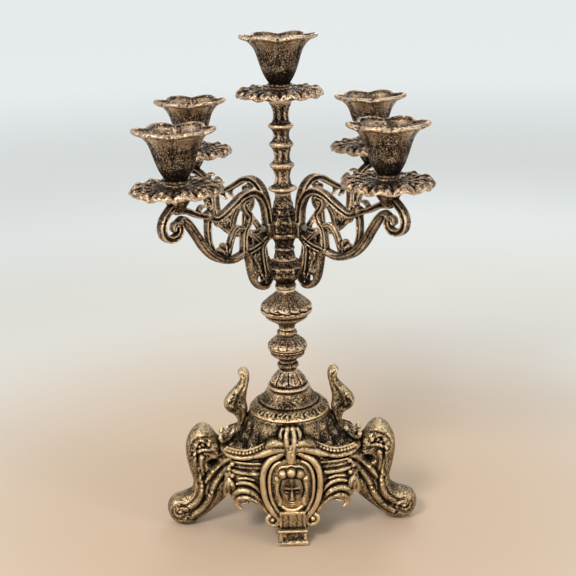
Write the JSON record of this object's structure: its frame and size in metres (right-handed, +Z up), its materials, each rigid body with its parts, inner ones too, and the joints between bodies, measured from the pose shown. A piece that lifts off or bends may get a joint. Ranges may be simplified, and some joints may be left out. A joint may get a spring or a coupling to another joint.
{
  "type": "candelabrum",
  "caption": "Table candelabrum in antique bronze casting: tulip cups on leafy drip pans, openwork scroll arms round a turned column, oblong base with scroll legs and mask cartouches",
  "frame": {"origin": "on the standing plane, under the column's axis", "axes": "+Z up along the column, +X along the base from toe to toe, -Y towards the front cartouche"},
  "size_m": [0.217, 0.217, 0.4034],
  "materials": {
    "base_bronze": "antique bronze, dark brown recesses and dry-brushed old-gold edges, grainy sand-cast texture",
    "column_bronze": "antique bronze, slightly redder brown than the base, gold on the rings' edges",
    "cup_bronze": "antique bronze, brown with gold petal rims, grainy cast texture",
    "arm_bronze": "antique bronze openwork, near-black between the ribs and gold on top",
    "steel_fastener": "darkened steel"
  },
  "bodies": {
    "base_stack": {"base_casting": "base_bronze", "bell_cap": "base_bronze", "leaf_collar": "column_bronze", "lower_collar": "column_bronze", "knop_lower": "column_bronze", "mid_collar": "column_bronze", "knop_upper": "column_bronze", "tie_rod": "steel_fastener", "base_washer": "steel_fastener", "base_nut": "steel_fastener"},
    "arm_cluster": {"hub_ring": "column_bronze", "hub_body": "column_bronze", "stem": "column_bronze", "arm_front_left": "arm_bronze", "arm_front_right": "arm_bronze", "arm_back_right": "arm_bronze", "arm_back_left": "arm_bronze", "arm_screw_front_left": "steel_fastener", "arm_screw_front_right": "steel_fastener", "arm_screw_back_right": "steel_fastener", "arm_screw_back_left": "steel_fastener", "cup_screw_top": "steel_fastener", "cup_screw_front_left": "steel_fastener", "cup_screw_front_right": "steel_fastener", "cup_screw_back_right": "steel_fastener", "cup_screw_back_left": "steel_fastener"},
    "light_top": {"drip_pan_top": "cup_bronze", "candle_cup_top": "cup_bronze"},
    "light_front_left": {"drip_pan_front_left": "cup_bronze", "candle_cup_front_left": "cup_bronze"},
    "light_front_right": {"drip_pan_front_right": "cup_bronze", "candle_cup_front_right": "cup_bronze"},
    "light_back_right": {"drip_pan_back_right": "cup_bronze", "candle_cup_back_right": "cup_bronze"},
    "light_back_left": {"drip_pan_back_left": "cup_bronze", "candle_cup_back_left": "cup_bronze"}
  },
  "joints": [
    {"name": "cluster_swivel", "type": "hinge", "parent": "base_stack", "child": "arm_cluster", "pos_m": [0, 0, 0.2051], "axis": [0, 0, 1], "continuous": true},
    {"name": "cup_turn_top", "type": "hinge", "parent": "arm_cluster", "child": "light_top", "pos_m": [0, 0, 0.3546], "axis": [0, 0, 1], "continuous": true},
    {"name": "cup_turn_front_left", "type": "hinge", "parent": "arm_cluster", "child": "light_front_left", "pos_m": [-0.07446, -0.07446, 0.2986], "axis": [0, 0, 1], "continuous": true},
    {"name": "cup_turn_front_right", "type": "hinge", "parent": "arm_cluster", "child": "light_front_right", "pos_m": [0.07446, -0.07446, 0.2986], "axis": [0, 0, 1], "continuous": true},
    {"name": "cup_turn_back_right", "type": "hinge", "parent": "arm_cluster", "child": "light_back_right", "pos_m": [0.07446, 0.07446, 0.2986], "axis": [0, 0, 1], "continuous": true},
    {"name": "cup_turn_back_left", "type": "hinge", "parent": "arm_cluster", "child": "light_back_left", "pos_m": [-0.07446, 0.07446, 0.2986], "axis": [0, 0, 1], "continuous": true}
  ]
}
